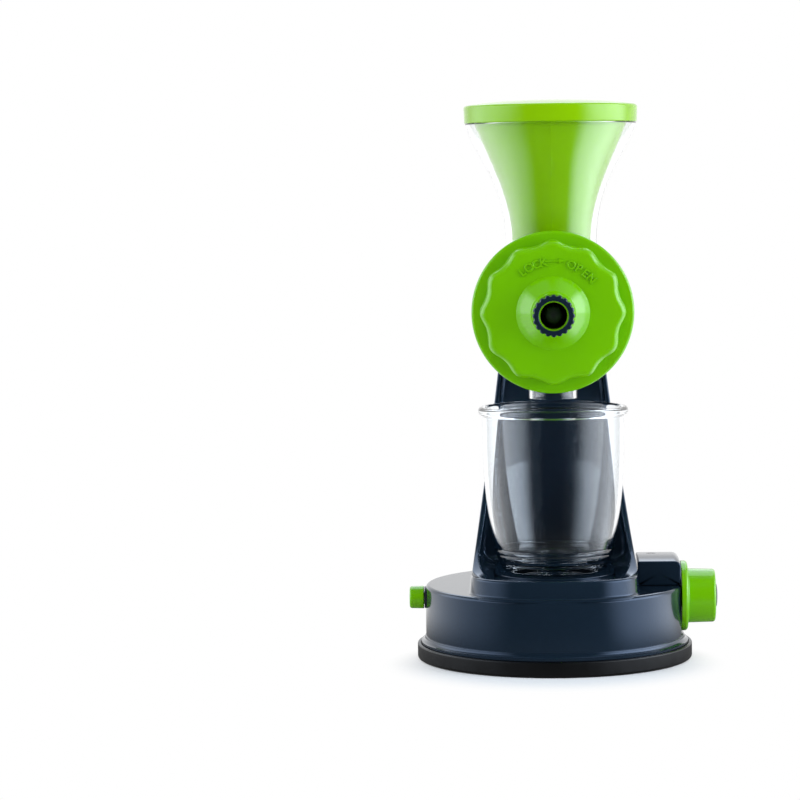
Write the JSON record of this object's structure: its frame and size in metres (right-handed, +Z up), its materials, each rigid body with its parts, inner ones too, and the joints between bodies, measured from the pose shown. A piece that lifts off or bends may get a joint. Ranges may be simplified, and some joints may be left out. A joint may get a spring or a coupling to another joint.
{
  "type": "manual juicer",
  "caption": "Hand-cranked masticating juicer with suction base, flared clear hopper and pusher, auger in a strainer, bayonet front ring, and a glass under the spout.",
  "frame": {"origin": "centre of the suction pad's ring of contact with the table, on the table's plane", "axes": "+Z up along the base's centre line, -Y towards the front ring and its nozzle, +X towards the vacuum knob"},
  "size_m": [0.1793, 0.2447, 0.3233],
  "materials": {
    "slate_plastic": "glossy dark blue-grey moulded plastic",
    "green_plastic": "glossy lime green moulded plastic",
    "clear_plastic": "clear glossy moulded plastic",
    "glass": "clear pressed glass",
    "rubber": "matte black rubber",
    "dark_nylon": "satin dark nylon",
    "steel": "stainless steel"
  },
  "bodies": {
    "base": {"suction_pad": "rubber", "base_housing": "slate_plastic", "stand_column": "slate_plastic", "column_screws": "steel", "shaft_cover": "slate_plastic", "cover_screw": "steel", "shaft_bushes": "dark_nylon", "hopper_barrel": "clear_plastic", "barrel_seal": "rubber", "strainer": "steel", "bearing_bush": "dark_nylon"},
    "crank": {"auger": "dark_nylon", "drive_shaft": "steel", "crank_arm": "slate_plastic", "crank_nut": "steel", "grip_pin": "steel"},
    "grip": {"crank_grip": "green_plastic", "grip_cap": "slate_plastic"},
    "ring": {"lock_ring": "green_plastic", "ring_gasket": "rubber"},
    "nut_carrier": {"nut_seal": "rubber"},
    "nut": {"waste_nut": "slate_plastic"},
    "pusher": {"pusher": "green_plastic", "pusher_lid": "green_plastic"},
    "glass": {"glass_tumbler": "glass"},
    "knob": {"vacuum_knob": "green_plastic", "knob_cap": "dark_nylon", "lock_shaft": "steel", "lift_cam": "dark_nylon", "release_button": "green_plastic"},
    "stud": {"stirrup": "steel", "pad_plate": "steel"}
  },
  "joints": [
    {"name": "crank_turn", "type": "hinge", "parent": "base", "child": "crank", "pos_m": [0, 0, 0.2035], "axis": [0, 1, 0], "continuous": true},
    {"name": "grip_spin", "type": "hinge", "parent": "crank", "child": "grip", "pos_m": [0, 0, 0.1035], "axis": [0, 1, 0], "continuous": true},
    {"name": "ring_turn", "type": "hinge", "parent": "base", "child": "ring", "pos_m": [0, 0, 0.2035], "axis": [0, 1, 0], "range_deg": [0, 45]},
    {"name": "nut_slide", "type": "slide", "parent": "ring", "child": "nut_carrier", "axis": [0, -1, 0], "range_m": [0, 0.004]},
    {"name": "nut_turn", "type": "hinge", "parent": "nut_carrier", "child": "nut", "pos_m": [0, 0, 0.2035], "axis": [0, -1, 0], "range_deg": [0, 720]},
    {"name": "pusher_lift", "type": "slide", "parent": "base", "child": "pusher", "axis": [0, 0, 1], "range_m": [0, 0.09]},
    {"name": "glass_slide", "type": "slide", "parent": "base", "child": "glass", "axis": [0, -1, 0], "range_m": [0, 0.12]},
    {"name": "knob_turn", "type": "hinge", "parent": "base", "child": "knob", "pos_m": [0, 0, 0.035], "axis": [1, 0, 0], "range_deg": [0, 90]},
    {"name": "stud_lift", "type": "slide", "parent": "base", "child": "stud", "axis": [0, 0, 1], "range_m": [0, 0.003], "deforming": ["suction_pad"]}
  ],
  "couplings": [
    {"joint": "nut_slide", "follows": "nut_turn", "m_per_rad": 0.0003183},
    {"joint": "stud_lift", "follows": "knob_turn", "m_per_rad": 0.0019098}
  ]
}
